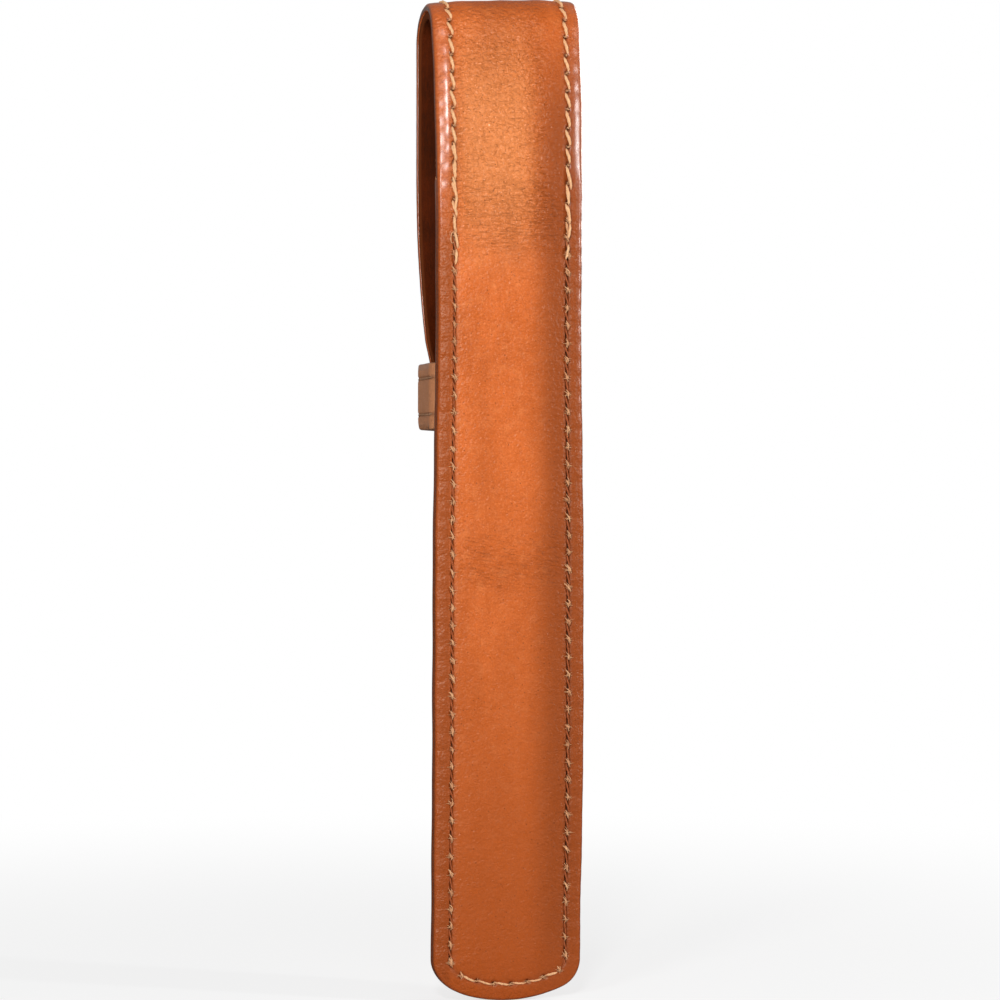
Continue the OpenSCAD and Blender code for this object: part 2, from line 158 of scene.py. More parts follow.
def part_of(s, back, lean, loop, flap):
    """Takes, for each length s, the value of the part of the strap that it lies in."""
    return np.select([s < LEAN_Z, s < LEAN_END_S, s < LOOP_END_S], [back, lean, loop], flap)


def strap_angle(s):
    """Which way the face looks: half a turn on the back, nought on the flap."""
    lean, loop = math.pi - (s - LEAN_Z) / LEAN_R, LOOP_TURN - (s - LEAN_END_S) / LOOP_R
    return part_of(s, math.pi, lean, loop, 0.0)


def place(x, s, d):
    """Points of the strap at (x, s) of the flat leather and depth d under its outer face."""
    x, s, d = np.broadcast_arrays(*(np.asarray(v, float) for v in (x, s, d)))
    a = strap_angle(s)
    curl = np.clip((np.abs(x) - 8.6) / 3.9, 0, 1.1) ** 2
    d = d + 0.5 * (curl * smooth((s - 131) / 9) * smooth((CREST_S - s) / 12))
    cos, sin = np.cos(a), np.sin(a)
    y = part_of(s, d, LEAN_R + (LEAN_R - d) * cos, LOOP_Y + (LOOP_R - d) * cos, FLAP_Y - d)
    z = part_of(s, s, LEAN_Z + (LEAN_R - d) * sin, LOOP_Z + (LOOP_R - d) * sin,
                LOOP_Z - (s - LOOP_END_S))
    front = s >= LOOP_END_S
    drop = CUP_R - np.sqrt(np.maximum(CUP_R**2 - x**2, 1))
    y = y - np.where(front, cup_share(z) * drop, 0)
    z = z + 0.05 * x * gauss(s - LOOP_END_S + 9, 20)
    return np.stack([x, y - MID_Y, z], -1)


class Shell:
    """Collects the points and faces of a mesh, with its flat coordinates, and builds from them."""

    def __init__(self):
        self.co, self.uv, self.dark, self.edge, self.faces, self.count = [], [], [], [], [], 0

    def add(self, co, uv, dark=0.0, edge=FAR):
        """Adds an array of points and returns their numbers in the same layout."""
        shape = co.shape[:-1]
        n = int(np.prod(shape))
        self.co.append(co.reshape(-1, 3))
        self.uv.append(np.broadcast_to(uv, shape + (2,)).reshape(-1, 2))
        self.dark.append(np.broadcast_to(dark, shape).reshape(-1))
        self.edge.append(np.broadcast_to(edge, shape).reshape(-1))
        index = np.arange(self.count, self.count + n).reshape(shape)
        self.count += n
        return index

    def quads(self, g, closed=False, flip=False):
        if closed:
            g = np.concatenate([g, g[:1]], 0)
        q = np.stack([g[:-1, :-1], g[1:, :-1], g[1:, 1:], g[:-1, 1:]], -1).reshape(-1, 4)
        self.faces.extend((q[:, ::-1] if flip else q).tolist())

    def zip(self, a, b, flip=False):
        """Joins two open chains of points with triangles, always by the shorter diagonal."""
        co = np.concatenate(self.co)
        i = j = 0
        while i < len(a) - 1 or j < len(b) - 1:
            if j == len(b) - 1:
                go = True
            elif i == len(a) - 1:
                go = False
            else:
                across, other = co[a[i + 1]] - co[b[j]], co[a[i]] - co[b[j + 1]]
                go = np.linalg.norm(across) < np.linalg.norm(other)
            t = [a[i], a[i + 1], b[j]] if go else [a[i], b[j + 1], b[j]]
            if len(set(map(int, t))) == 3:
                self.faces.append([int(k) for k in (t[::-1] if flip else t)])
            i, j = (i + 1, j) if go else (i, j + 1)

    def halve(self, fine, coarse, flip=False):
        """Joins a chain to one with half as many steps."""
        for k in range(len(coarse) - 1):
            f0, f1, f2 = fine[2 * k], fine[2 * k + 1], fine[2 * k + 2]
            for t in ([coarse[k], f0, f1], [coarse[k], f1, coarse[k + 1]], [coarse[k + 1], f1, f2]):
                self.faces.append([int(v) for v in (t[::-1] if flip else t)])

    def normals(self, co):
        total = np.zeros_like(co)
        for size in (3, 4):
            f = np.array([q for q in self.faces if len(q) == size], int)
            if len(f):
                n = np.cross(co[f[:, 2]] - co[f[:, 0]], co[f[:, -1]] - co[f[:, 1]])
                for k in range(size):
                    np.add.at(total, f[:, k], n)
        return total / np.maximum(np.linalg.norm(total, axis=1, keepdims=True), 1e-12)

    def build(self, name, material, keep=None, share=None):
        """One Blender object of the faces in keep, with the whole shell's normals."""
        parts = self.co, self.uv, self.dark, self.edge
        co, uv, dark, edge = map(np.concatenate, parts)
        nor = self.normals(co) if share is None else share
        faces = self.faces if keep is None else [self.faces[i] for i in keep]
        used = np.unique(np.concatenate([np.array(f) for f in faces]))
        new = np.full(len(co), -1)
        new[used] = np.arange(len(used))
        mesh = bpy.data.meshes.new(name)
        mesh.from_pydata((co[used] * MM).tolist(), [], [[int(new[v]) for v in f] for f in faces])
        layer = mesh.uv_layers.new(name="flat")
        loop = np.zeros(len(mesh.loops), int)
        mesh.loops.foreach_get("vertex_index", loop)
        layer.data.foreach_set("uv", (uv[used][loop] * UV_SCALE).astype(np.float32).ravel())
        # the 'dark' mark is painted shade in seams, grooves and holes, and on threads also a
        # browner tone
        for key, values in (("dark", dark), ("edge", edge)):
            data = mesh.attributes.new(key, "FLOAT", "POINT").data
            data.foreach_set("value", values[used].astype(np.float32))
        mesh.polygons.foreach_set("use_smooth", [True] * len(mesh.polygons))
        mesh.update()
        mesh.normals_split_custom_set_from_vertices(nor[used].tolist())
        mesh.materials.append(material)
        obj = bpy.data.objects.new(name, mesh)
        bpy.context.scene.collection.objects.link(obj)
        return obj


# Fold lines of the strap and the cuts halfway between them
FOLDS = [fold_s(k + 1) for k in range(LOOP_FOLDS)] + [flap_s(z) for z in (ROOT_Z, KNEE_Z, FOLD_Z)]
CUTS = [(a + b) / 2 for a, b in zip(FOLDS, FOLDS[1:])]
LINKS = ["sleeve", "loop_rear", "loop_top", "loop_front",
         "flap_root", "flap_upper", "flap_lower", "tongue"]


def blend_piece(obj, k, depth):
    """Bakes the piece's transform into its mesh; the place and direction of fold k are found but
    not used.
    """
    here = place(0, FOLDS[k], depth)
    along = place(0, FOLDS[k] + 0.01, depth) - place(0, FOLDS[k] - 0.01, depth)
    along = along / np.linalg.norm(along)
    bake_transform(obj)
    return obj


def side_rows(low, high):
    """Lengths along a side, a tenth of a stitch apart, in an even number of steps between cuts."""
    marks = [low] + [c for c in CUTS if low < c < high] + [high]
    rows = [low]
    for a, b in zip(marks, marks[1:]):
        n = 2 * max(1, round((b - a) / (PITCH / 5)))
        rows += [a + (b - a) * i / n for i in range(1, n + 1)]
    return np.array(rows)


def mirrored(part):
    return part[::-1] * [-1, 1]


def outline(low, round_low, inset=0.0):
    """The flat leather's edge: up the left side, over the tip, down the right, round the bottom.

    p is its points (x, s), n the direction inwards and b the length so far.
    """
    s_tip = flap_s(TIP_Z + TIP_R)
    rows = side_rows(low, s_tip)
    z = np.where(rows > LOOP_END_S, LOOP_Z - (rows - LOOP_END_S), SLEEVE_H)
    left = np.stack([-(taper_w(z) - inset), rows], -1)
    near = smooth((rows - (s_tip - 5)) / 5)[:, None]
    lead = np.array([1.0, 0.0]) * (1 - near)
    lead = lead + np.array([math.cos(TIP_TURN), -math.sin(TIP_TURN)]) * near

    t = np.linspace(0, QUARTER, 26)[1:]
    zt = TIP_Z + TIP_R * (1 - np.sin(t))
    round_x = taper_w(zt) - inset - TIP_R * (1 - np.cos(t))
    corner = np.stack([-round_x, flap_s(zt) - inset * np.sin(t)], -1)
    n = round(2 * (float(taper_w(TIP_Z)) - inset - TIP_R) / 0.3)
    across = np.linspace(corner[-1, 0], -corner[-1, 0], n + 1)[1:-1]
    flat = np.stack([across, np.full(n - 1, corner[-1, 1])], -1)
    a = t * 0.95 + TIP_TURN
    turned = np.stack([np.cos(a), -np.sin(a)], -1)
    turned[-1] = 0.0, -1.0
    over = np.concatenate([turned, np.tile([0.0, -1.0], (n - 1, 1)), mirrored(turned)])

    points = [left, corner, flat, mirrored(corner), mirrored(left)]
    inward = [lead, over, mirrored(lead)]
    if round_low:
        a = np.linspace(0, QUARTER - BOW_ANGLE, 20)[1:]
        out = np.stack([np.cos(a), -np.sin(a)], -1)
        right = out * CORNER_R + [CORNER_X, CORNER_Z]
        w = np.linspace(BOW_ANGLE, -BOW_ANGLE, 66)[1:-1]
        bow = np.stack([BOTTOM_R * np.sin(w), BOTTOM_R - BOTTOM_R * np.cos(w)], -1)
        points += [right, bow, mirrored(right)]
        inward += [-out, np.stack([-np.sin(w), np.cos(w)], -1), mirrored(-out)]
    points, inward = np.concatenate(points), np.concatenate(inward)
    tip = 2 * len(corner) + len(flat)
    return {"p": points, "n": inward, "b": lengths(points), "rows": rows, "tip": tip}


FACE_STEPS = [0.8, 1.15, 1.5, 1.85, 2.1, 2.3, 2.42, 2.54, 2.64, 2.72, 2.8,
              2.88, 2.96, 3.06, 3.18, 3.35, 3.6, 3.9, 4.3]
BACK_STEPS = [1.2, 2.4, 4.3]


def rounding(r, n):
    """A quarter round as (inset, depth), from the face out to the edge."""
    return [(r * (1 - math.cos(v)), r * (1 - math.sin(v))) for v in np.linspace(QUARTER, 0, n)]


def edge_profile(t, outer_r, inner_r):
    """The leather's edge as (inset, depth): in over the outer face, round the edge, back inside."""
    face = [(e, 0.0) for e in FACE_STEPS[::-1] if e > outer_r + 0.05]
    low = [(e, t - d) for e, d in rounding(inner_r, 7)[::-1]]
    return np.array(face + rounding(outer_r, 7) + low + [(e, t) for e in BACK_STEPS])


def hole_rows(low, high, pitch, jitter):
    """Places of the needle holes along the edge's length b, a pitch apart."""
    n = max(2, round((high - low) / pitch))
    holes = low + (high - low) * np.arange(n + 1) / n
    holes[1:-1] += rng.normal(0, jitter, n - 1)
    return holes


def near_hole(b, holes, width):
    i = np.clip(np.searchsorted(holes, b), 1, len(holes) - 1)
    away = np.minimum(np.abs(b - holes[i - 1]), np.abs(b - holes[i]))
    return np.exp(-((away / width) ** 2))


def build_ply(depth, t, low, round_low, outer_r, inner_r, inset, relief):
    """One ply of the strap: a band round its edge, fine enough for the seam, and a coarse field."""
    line = outline(low, round_low, inset)
    prof = edge_profile(t, outer_r, inner_r)
    shell = Shell()
    e, d = prof[:, 0][None, :], prof[:, 1][None, :]
    start, inward = line["p"][:, None, :], line["n"][:, None, :]
    flat = start + inward * e[..., None]
    x, s = flat[..., 0], flat[..., 1]
    add, dark = relief(x, s, e, line["b"][:, None], d, t)
    run = lengths(prof)
    first = int(np.argmin(prof[:, 0]))
    signed = np.where(np.arange(len(prof)) <= first, prof[:, 0], run[first] - run)[None, :]
    uv = start + inward * signed[..., None]
    rim = e - 0.2 * (e < 1e-6)
    pos = place(shift_x(x, s, e), s, depth + d + add)
    g = shell.add(pos, uv, dark, np.broadcast_to(rim, x.shape))
    shell.quads(g, closed=round_low)
    n, tip = len(line["rows"]), line["tip"]
    rows = line["rows"][::2]
    ends = []
    for level, under, flip in ((0, 0.0, False), (len(prof) - 1, t, True)):
        half = np.abs(x[:n:2, level])
        fx = np.linspace(-1, 1, 15)[None, :] * (half[:, None] - 0.6)
        fs = np.broadcast_to(rows[:, None], fx.shape)
        fe = half[:, None] + e[0, level] - np.abs(fx)
        more, shade = relief(fx, fs, fe, fs * 0 + NO_SEAM, fs * 0 + under, t)
        pos = place(shift_x(fx, fs, fe), fs, depth + under + more)
        f = shell.add(pos, np.stack([fx, fs], -1), shade, fe)
        shell.quads(f, flip=not flip)
        shell.halve(g[:n, level], f[:, 0], flip=not flip)
        shell.halve(g[n + tip:2 * n + tip, level][::-1], f[:, -1], flip=flip)
        shell.zip(g[n - 1:n + tip + 1, level], f[-1], flip=not flip)
        if round_low:
            bottom = np.concatenate([g[2 * n + tip - 1:, level], g[:1, level]])
            shell.zip(bottom, f[0][::-1], flip=not flip)
        ends.append(f[0])
    if not round_low:
        left, right = g[0], g[2 * n + tip - 1]
        over = np.concatenate([left[first::-1], ends[0], right[:first + 1]])
        under = np.concatenate([left[first:], ends[1], right[first:][::-1]])
        shell.zip(over, under, flip=True)
    return shell


def cut_shell(shell, name, material, depth):
    """Cuts a ply between its folds into pieces, each with the whole ply's normals."""
    co = np.concatenate(shell.co)
    s = np.concatenate(shell.uv)[:, 1]
    share = shell.normals(co)
    middle = np.array([s[f].mean() for f in shell.faces])
    which = np.searchsorted(CUTS, middle)
    made = []
    for k in range(len(FOLDS)):
        keep = np.nonzero(which == k)[0]
        if len(keep):
            piece = shell.build(f"{name}_{k + 1}", material, keep, share)
            made.append((k, blend_piece(piece, k, depth)))
    return made


def widen(s):
    """How far each side of the real strap stands out past its pattern, at length s."""
    low = -0.36 * gauss(s - 113, 26) - 0.1 * smooth((28 - s) / 25)
    low = low + 0.14 * gauss(s - 59, 30) + 0.05 * waver(s, 23, 3)
    z = LOOP_END_S + LOOP_Z - s
    front = (0.3 + 0.4 * gauss(z - 112, 9)) * smooth((z - KEEPER_TOP_Z + 1.5) / 6)
    return np.where(s < OVER_S, low, 0) + front * smooth((s - 165) / 12)


def sway(s):
    """How far the strap's foot leans to the left."""
    return -0.4 * smooth((45 - s) / 45)


PATH = outline(CORNER_Z, True)
PATH["q"] = PATH["p"] + PATH["n"] * SEAM_INSET
PATH["c"] = lengths(PATH["q"])


def seam_holes():
    """Needle holes along the seam's own length, closer round the pocket than on the loop."""
    c, s, n = PATH["c"], PATH["q"][:, 1], len(PATH["rows"])
    down = slice(n + PATH["tip"], 2 * n + PATH["tip"])
    turn = np.interp([MOUTH_S], s[:n], c[:n])[0]
    back = np.interp(-MOUTH_S, -s[down], c[down])
    low_a = hole_rows(c[0], turn, POCKET_PITCH, 0.06)
    top = hole_rows(turn, back, PITCH, 0.03)
    low_b = hole_rows(back, c[-1], POCKET_PITCH, 0.06)
    return np.concatenate([low_a[:-1], top[:-1], low_b])


HOLES = seam_holes()
HOLES_B = np.interp(HOLES, PATH["c"], PATH["b"])
STITCH_AT, STITCH_HALF = (HOLES[:-1] + HOLES[1:]) / 2, np.diff(HOLES) / 2 - HOLE_GAP


def seam_at(c):
    return np.interp(c, PATH["c"], PATH["q"][:, 0]), np.interp(c, PATH["c"], PATH["q"][:, 1])


def shift_x(x, s, e):
    """Carries a point of the pattern out to the real strap's edge and sway."""
    away = np.sign(x) * widen(s) * np.clip(1 - e / FAR, 0, 1) * smooth((s - 2) / 4)
    nip = 0.55 * smooth((7 - s) / 5) * smooth((-x - 6) / 5)
    return x + away + np.where(s < 100, sway(s) + nip, 0)


def strap_relief(x, s, e, b, d, t):
    """Depth pressed into the face by the seam, the pad inside it and the rolled margin, and painted
    shade in the seam.
    """
    face = (d < t * 0.5) * 1.0
    tight = smooth((TIGHT_S - s) / 8) * smooth((s - 4.5) / 3)
    line = e - SEAM_INSET
    sewn = b > NO_SEAM / 2
    valley = gauss(line, 0.6)
    hole = gauss(line, 0.34) * near_hole(b, HOLES_B, 0.36) * sewn
    slit = gauss(line, 0.2) * (1 - near_hole(b, HOLES_B, 0.55)) * sewn
    puff = 0.09 * smooth(-line / 1.6) * (1 - near_hole(b, HOLES_B, 0.85) * sewn)
    margin = 0.5 * np.clip(1 - e / 2.5, 0, 1) ** 1.35 * (1 - 0.55 * gauss(s - OVER_S, 9))
    pad = -0.2 * smooth((e - 3.0) / 3.4)
    dent = 0.05 * waver(s + 7 * np.sin(x * 0.4), 17, 5) * smooth((e - 3) / 3)
    ridge = -0.06 * gauss(x - 6.4 + 0.008 * (s - 80), 0.9)
    ridge = ridge * smooth((s - 80) / 30) * smooth((e - 3.2) / 0.8)
    slope = 0.16 * smooth((x - 2) / 9) * smooth((s - 8) / 20) * smooth((150 - s) / 20)
    press = (0.1 + 0.1 * tight) * valley + (0.5 - 0.25 * tight) * hole + 0.42 * slit * tight
    press = press - puff * (0.6 + 0.4 * tight)
    # painted shade in the seam's valley, needle holes and slits
    dark = np.clip(0.22 * valley + (1.0 - 0.5 * tight) * hole + slit * tight, 0, 1)
    return face * (press + margin + pad + dent + ridge + slope), face * dark + 0 * x


def lining_relief(x, s, e, b, d, t):
    """The groove that the seam presses into the lining's face, with painted shade in it."""
    groove = (d > t * 0.5) * gauss(e - SEAM_INSET + 0.2, 0.5)
    return -0.15 * groove, 0.3 * groove + 0 * x


def strands(pos, up, radius, lobes=3, twist=2.2, rings=12):
    """Swept strands with a plied outline: pos is (stitches, steps, 3), up the face's normal."""
    fwd = unit(np.gradient(pos, axis=1))
    side = unit(np.cross(fwd, up))
    top = np.cross(side, fwd)
    run = runs(pos)
    phi = np.linspace(0, 2 * math.pi, rings, endpoint=False)
    turn = phi[None, None, :] * lobes + run[..., None] * twist * lobes
    radius = np.broadcast_to(radius, pos.shape[:-1])
    r = (radius[..., None] * (1 + 0.2 * np.cos(turn)))[..., None]
    way = np.cos(phi)[:, None] * side[:, :, None] + np.sin(phi)[:, None] * top[:, :, None]
    uv = np.stack(np.broadcast_arrays(run[..., None], phi * 0.35), -1)
    return pos[:, :, None] + r * way, uv


class Threads:
    """Gathers strands by the piece that they belong to."""

    def __init__(self):
        self.sets = {}

    def add(self, key, ring, uv, shade):
        self.sets.setdefault(key, []).append((ring, uv, shade))

    def share_out(self, s, ring, uv, shade):
        """Adds each strand to the strap's piece at its length s, or to the pocket's seam."""
        keys = np.where(s < MOUTH_S - 0.5, POCKET_SEAM, np.searchsorted(CUTS, s))
        shade = np.broadcast_to(shade, keys.shape)
        for key in np.unique(keys):
            pick = keys == key
            self.add(int(key), ring[pick], uv[pick], shade[pick][:, None, None])

    def build(self, key, name, material):
        shell = Shell()
        for ring, uv, shade in self.sets[key]:
            index = shell.add(ring, uv, shade)
            a, b = index[:, :-1], index[:, 1:]
            q = np.stack([a, np.roll(a, -1, 2), np.roll(b, -1, 2), b], -1).reshape(-1, 4)
            shell.faces.extend(q.tolist())
            shell.faces.extend(index[:, 0, ::-1].tolist())
            shell.faces.extend(index[:, -1].tolist())
        return shell.build(name, material)


def lay(x, s, depth):
    """Points along the strap's real surface, and the way out of its face there."""
    x = shift_x(x, s, SEAM_INSET)
    pos = place(x, s, depth)
    return pos, pos - place(x, s, depth + PROBE)


def scatter(n):
    return rng.uniform(0, APART, (n, 1, 1, 2))


def strap_stitches(threads):
    """The seam's thread on the strap's outer face, and on the lining's face above the mouth."""
    u = np.linspace(-1, 1, 15)
    s0 = seam_at(STITCH_AT)[1]
    jig = rng.normal(0, 1, (len(s0), 5))
    c = STITCH_AT[:, None] + u * (STITCH_HALF + 0.03 * jig[:, 0])[:, None]
    x, s = seam_at(c)
    dx, ds = np.gradient(x, axis=1), np.gradient(s, axis=1)
    on_side = np.abs(ds).mean(1) > np.abs(dx).mean(1)
    sunk = smooth((TIGHT_S - s0) / 8) * on_side
    neat = 1 - np.where(on_side, sunk, 0.75)
    slant = (0.3 + 0.07 * jig[:, 1] - 0.06 * sunk) * np.sign(ds.mean(1))
    x = x - np.where(on_side, slant, 0)[:, None] * np.sin(u * 1.4)
    s = s + np.where(on_side, 0, 0.16)[:, None] * np.sin(u * 1.4 + 0.3 * jig[:, 4:5])
    bow = 1 - np.abs(u) ** 2.4
    rise = 0.1 * neat + 0.02 * jig[:, 2] - 0.28 * sunk
    pos, up = lay(x, s, 0.32 * (1 - bow)[None, :] - rise[:, None] * bow + 0.04)
    wide = (0.15 + 0.105 * neat + 0.012 * jig[:, 3])[:, None]
    size = wide * (0.3 + 0.7 * np.clip(1 - np.abs(u) ** 2.2, 0, 1) ** 0.6)
    ring, uv = strands(pos, up, size)
    uv = uv + scatter(len(s0))
    # painted shade on the thread where it sinks into the seam's groove
    threads.share_out(s0, ring, uv, 0.1 + 0.84 * sunk)
    inner = s0 > MOUTH_Z + 2
    x, s = seam_at(c[inner])
    depth = np.broadcast_to(PLIES_T + 0.1 * bow - 0.15 * (1 - bow), x.shape)
    pos = place(x, s, depth)
    ring, uv = strands(pos, place(x, s, depth + PROBE) - pos, size[inner] * 0.8)
    threads.share_out(s0[inner], ring, uv, 0.55)


def knots(threads):
    """Where the pocket's seam comes up through a hole: a frayed loop, pulled to the upper left."""
    x0, s0 = seam_at(HOLES)
    pick = (s0 < MOUTH_S + 1) & (s0 > 4)
    x0, s0 = x0[pick][:, None], s0[pick][:, None]
    u = np.linspace(-1, 1, 9)
    n = len(x0)
    for ply in range(3):
        lean = rng.normal(0.24, 0.14, (n, 1))
        half = rng.uniform(0.4, 0.85, (n, 1))
        s = s0 + rng.normal(0.05, 0.12, (n, 1)) + u * half
        x = x0 - lean * u + rng.normal(0, 0.1, (n, 1)) + 0.1 * np.sin(u * 3 + ply)
        pos, up = lay(x, s, 0.02 - rng.uniform(0.02, 0.13, (n, 1)) * (1 - u**2) + 0.2 * u**4)
        size = rng.uniform(0.07, 0.12, (n, 1)) * (0.35 + 0.65 * (1 - u**2))
        ring, uv = strands(pos, up, size, 2, 2.6, 8)
        threads.add(POCKET_SEAM, ring, uv + scatter(n), rng.uniform(0.25, 0.62, (n, 1, 1)))


def lock_stitches(threads):
    """The seam sewn back over itself beside the mouth: short, crossing, untidy stitches."""
    u = np.linspace(-1, 1, 15)
    size = 0.2 * np.sqrt(np.clip(1.1 - np.abs(u) ** 3, 0.1, 1))
    depth = -0.1 - 0.14 * (1 - u**2) + 0.3 * np.abs(u) ** 3
    for side, low, high in ((-1, 121.5, 139.5), (1, 123, 137.5)):
        for s0 in np.arange(low, high, POCKET_PITCH):
            lean = rng.normal(0.0, 0.16)
            half = rng.uniform(1.1, 1.6)
            s = s0 + rng.uniform(-0.3, 0.3) + u * half
            x = side * SEAM_X + rng.normal(0.1, 0.12) - lean * u
            pos, up = lay(x, s, depth)
            ring, uv = strands(pos[None], up[None], size)
            threads.add(POCKET_SEAM, ring, uv + rng.uniform(0, APART, 2), 0.1)


def tufts(threads):
    """Short ends of fibre that stand out of each needle hole."""
    x0, s0 = seam_at(HOLES)
    u = np.linspace(0, 1, 6)
    n = len(x0)
    for _ in range(12):
        way = unit(rng.normal(0, 1, (n, 2)))
        way[:, 0] *= 1.3
        far = rng.uniform(0.25, 0.85, (n, 1)) * np.where(s0 < MOUTH_S, 1, 0.5)[:, None]
        x = x0[:, None] + way[:, :1] * far * u + rng.normal(0, 0.08, (n, 1))
        s = s0[:, None] + way[:, 1:] * far * u * 0.6 + rng.normal(0, 0.1, (n, 1))
        pos, up = lay(x, s, 0.15 - u * rng.uniform(0.2, 0.42, (n, 1)) + 0.12 * u**2)
        ring, uv = strands(pos, up, 0.034 * (1.1 - u), 2, 1, 5)
        threads.share_out(s0, ring, uv, 0.18)


def loose_end(threads):
    """A thread end that was left curling on the left margin."""
    u = np.linspace(0, 1, 60)
    x = -SEAM_X - 0.1 - 0.8 * np.sin(u * 3.0) * (1 - 0.3 * u)
    s = 125.6 - 1.9 * u + 0.35 * np.sin(u * 7)
    depth = 0.1 - 0.45 * np.sin(np.clip(u * 1.15, 0, 1) * math.pi) ** 0.7
    pos = place(shift_x(x, s, 2.0), s, depth)[None]
    up = pos - place(x, s, depth + PROBE)[None]
    ring, uv = strands(pos, up, 0.11 * (1 - 0.3 * u), 2, 2.4, 8)
    threads.add(POCKET_SEAM, ring, uv, 0.45)


FLANGE_STEPS = (3.2, 3.06, 2.94, 2.8, 2.66, 2.54, 2.4, 2.1, 1.7, 1.2, 0.8)
DOME = 6.0  # the edge value inside the flange


def panel_profile(thin):
    """Points across the panel, outside and then inside, thinner by the array thin at its lip.

    Each is (way out from the pocket's middle, height, None) or (None, height, inset).
    """
    base, flange = STRAP_T + FOOT_R, STRAP_T + PANEL_T / 2
    cols = []
    for sign in (1, -1):
        off = sign * (PANEL_T / 2 - thin)
        r = PEN_R + PANEL_T / 2 + off
        bend = FOOT_R - PANEL_T / 2 - off
        dome = [(r * math.sin(v), base + SIDE_H + r * math.cos(v), None)
                for v in np.linspace(0, QUARTER, 22)]
        side = [(r, base + SIDE_H * y + 0 * off, None) for y in (0.66, 0.33)]
        foot = [(PEN_R + FOOT_R - bend * math.cos(v), base - bend * math.sin(v), None)
                for v in np.linspace(0, QUARTER, 10)]
        sewn = [(None, flange + off, e) for e in FLANGE_STEPS]
        edge = [(None, flange + off - sign * d, e) for e, d in rounding(0.4, 5)]
        part = dome + side + foot + sewn + edge
        cols += part if sign > 0 else part[::-1]
    return cols


def panel_shell():
    """The moulded pocket panel: a round-ended dome on a sewn flange, with a lip at the mouth."""
    lip, half = 0.5, STRAP_W / 2
    a = np.linspace(0, QUARTER, 6)[1:]
    zs = np.linspace(CORNER_Z, MOUTH_Z - lip, 430)
    shrink = np.concatenate([0 * zs, lip * (1 - np.cos(a))])
    zs = np.concatenate([zs, MOUTH_Z - lip + lip * np.sin(a)])
    low, m = 2 * len(PATH["rows"]) + PATH["tip"], len(zs)
    bottom, inward = PATH["p"][low:], PATH["n"][low:]
    left = np.stack([np.full(m, -half), zs], -1)
    p = np.concatenate([mirrored(left), bottom, left])
    n = np.concatenate([np.tile([-1.0, 0], (m, 1)), inward, np.tile([1.0, 0], (m, 1))])
    thin = np.concatenate([shrink[::-1], np.zeros(len(bottom)), shrink])[:, None]
    c = np.stack([np.zeros(len(p)), np.maximum(p[:, 1], POCKET_END_Z)], -1)
    way = unit(p - c)
    flat, high, edge = [], [], []
    for r, y, e in panel_profile(thin):
        flat.append(c + way * r if e is None else p + n * e)
        high.append(np.broadcast_to(y, thin.shape)[:, 0])
        edge.append(np.full(len(p), DOME if e is None else e))
    flat, high, edge = (np.stack(v, 1) for v in (flat, high, edge))
    x, s, k = flat[..., 0], flat[..., 1], flat.shape[1] // 2
    dome = edge == DOME
    sewn = (np.arange(2 * k) < k) * ~dome
    foot = gauss(edge - SEAM_INSET, 0.45) * sewn
    side_hole = gauss(((s - 6.0) / POCKET_PITCH) % 1 - 0.5, 0.12)
    high = high - 0.15 * foot - 0.3 * gauss(edge - SEAM_INSET, 0.22) * side_hole * sewn
    wave = 0.08 * waver(s + 3 * np.sin(x * 0.3), 21, 8) * (np.arange(2 * k) < k) * dome
    high = high + wave * smooth((high - 4) / 3)
    edge = np.where(dome, FAR, edge)
    co = np.stack([shift_x(x, s, edge), high - MID_Y, s], -1)
    uv = c[:, None] + way[:, None] * runs(co)[..., None]
    shell = Shell()
    # painted shade in the flange's seam groove and holes
    g = shell.add(co, uv, np.clip(foot * 0.3 + side_hole * foot * 0.6, 0, 1), edge)
    shell.quads(g)
    for row, flip in ((g[0], True), (g[-1], False)):
        shell.zip(row[:k], row[k:][::-1], flip=flip)
    return shell


def taper(u, size):
    """The radius of a thread along a stitch, thinner where it dives into the leather."""
    return size * (0.45 + 0.55 * np.sqrt(1 - np.abs(u) ** 2.6))


def flange_stitches(threads):
    """The seam's thread on the front of the flange, left out under the keeper's feet."""
    s0 = seam_at(STITCH_AT)[1]
    pick = (s0 < MOUTH_Z - 1) & ~((s0 > KEEPER_Z - 1.4) & (s0 < KEEPER_TOP_Z + 1.4))
    u = np.linspace(-1, 1, 13)
    x, s = seam_at(STITCH_AT[pick][:, None] + u * STITCH_HALF[pick][:, None])
    y = FLANGE_Y + 0.02 + 0.12 * (1 - u**2) - 0.22 * np.abs(u) ** 3 + 0 * x
    pos = np.stack([shift_x(x, s, SEAM_INSET), y - MID_Y, s], -1)
    up = np.broadcast_to([0.0, 1.0, 0.0], pos.shape)
    ring, uv = strands(pos, up, taper(u, 0.22))
    threads.add(FLANGE_SEAM, ring, uv + scatter(len(x)), 0.1)


BAND_X = float(taper_w(KEEPER_TOP_Z)) + KEEPER_SIDE_CLEAR + BAND_T
BAND_ROWS = (KEEPER_Z + 2.5, KEEPER_TOP_Z - 2.5)
ARCH_R = CUP_R + KEEPER_CLEAR + BAND_T
ARCH_Y = FLAP_Y - CUP_R
ARCH = math.asin((BAND_X - KEEPER_CORNER_R) / (ARCH_R - KEEPER_CORNER_R))
CORNER_Y = ARCH_Y + (ARCH_R - KEEPER_CORNER_R) * math.cos(ARCH)


def arc(x, y, r, start, end, n):
    """Points of an arc, each with its outward normal."""
    v = np.linspace(start, end, n)
    return np.stack([x + r * np.cos(v), y + r * np.sin(v), np.cos(v), np.sin(v)], -1)


